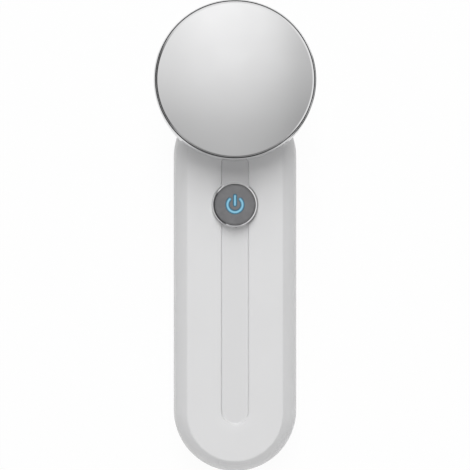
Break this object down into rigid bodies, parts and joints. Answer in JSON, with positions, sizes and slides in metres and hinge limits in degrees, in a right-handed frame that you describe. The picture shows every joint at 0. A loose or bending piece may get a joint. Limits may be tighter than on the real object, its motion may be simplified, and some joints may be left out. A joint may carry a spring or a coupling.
{
  "type": "facial toning device",
  "caption": "Hand-held facial toning device: a round mirror-polished contact plate in a chrome rim, tilted on the front of a slim handle with a lit power button and a charging socket.",
  "frame": {"origin": "under the middle of the overall length and width, on the plane of the handle's flat back", "axes": "+X across the handle, +Y along the handle towards the head, +Z out of the front, from the back that it rests on"},
  "size_m": [0.0536, 0.1594, 0.0383],
  "materials": {
    "white_gloss": "gloss moulded",
    "mirror_plate": "mirror polished",
    "chrome_trim": "bright plated",
    "dark_mirror": "dark mirror",
    "lit_blue": "lit translucent",
    "lamp": "clear",
    "black_rubber": "matte",
    "clear_rubber": "translucent matte",
    "white_plastic": "satin",
    "black_plastic": "satin",
    "steel": "plated",
    "copper": "enamelled winding",
    "board": "solder mask",
    "amber_film": "polyimide film",
    "cell_foil": "laminate foil",
    "red_wire": "insulation",
    "black_wire": "insulation",
    "blue_wire": "insulation",
    "yellow_wire": "insulation"
  },
  "bodies": {
    "body": {"front_shell": "white_gloss", "rear_shell": "white_gloss", "head_cup": "white_gloss", "contact_plate": "mirror_plate", "head_rim": "chrome_trim", "button_bezel": "chrome_trim", "lamp_1": "lamp", "lamp_2": "lamp", "insulating_ring": "black_rubber", "neck_seal": "black_rubber", "motor_sleeve": "black_rubber", "battery_pad": "black_rubber", "shell_seal": "clear_rubber", "button_boot": "clear_rubber", "plate_carrier": "white_plastic", "screw_plug_1": "white_plastic", "screw_plug_2": "white_plastic", "screw_plug_3": "white_plastic", "screw_plug_4": "white_plastic", "thermistor": "black_plastic", "tact_switch": "black_plastic", "control_chip": "black_plastic", "socket_tongue": "black_plastic", "motor_end_cap": "black_plastic", "neck_clamp": "steel", "motor_can": "steel", "charging_socket": "steel", "shell_screw_1": "steel", "shell_screw_2": "steel", "shell_screw_3": "steel", "shell_screw_4": "steel", "carrier_screw_1": "steel", "carrier_screw_2": "steel", "carrier_screw_3": "steel", "neck_screw_1": "steel", "neck_screw_2": "steel", "button_board_screw_1": "steel", "button_board_screw_2": "steel", "board_screw_1": "steel", "board_screw_2": "steel", "step_up_coil": "copper", "main_board": "board", "button_board": "board", "heater_film": "amber_film", "battery_cell": "cell_foil", "battery_lead_1": "red_wire", "motor_lead_1": "red_wire", "plate_lead": "red_wire", "battery_lead_2": "black_wire", "motor_lead_2": "black_wire", "rim_lead": "black_wire", "heater_lead": "blue_wire", "thermistor_lead": "yellow_wire"},
    "button": {"button_cap": "dark_mirror", "light_guide": "lit_blue", "switch_plunger": "white_plastic"},
    "motor_rotor": {"motor_shaft": "steel", "motor_armature": "copper", "eccentric_weight": "steel"}
  },
  "joints": [
    {"name": "button_press", "type": "slide", "parent": "body", "child": "button", "axis": [0, 0, -1], "range_m": [0, 0.0005], "stiffness_N_per_m": 2000, "springref_m": -0.0003, "deforming": ["button_boot"]},
    {"name": "motor_spin", "type": "hinge", "parent": "body", "child": "motor_rotor", "pos_m": [0, 0.0304, 0.0094], "axis": [0, 1, 0], "continuous": true}
  ]
}
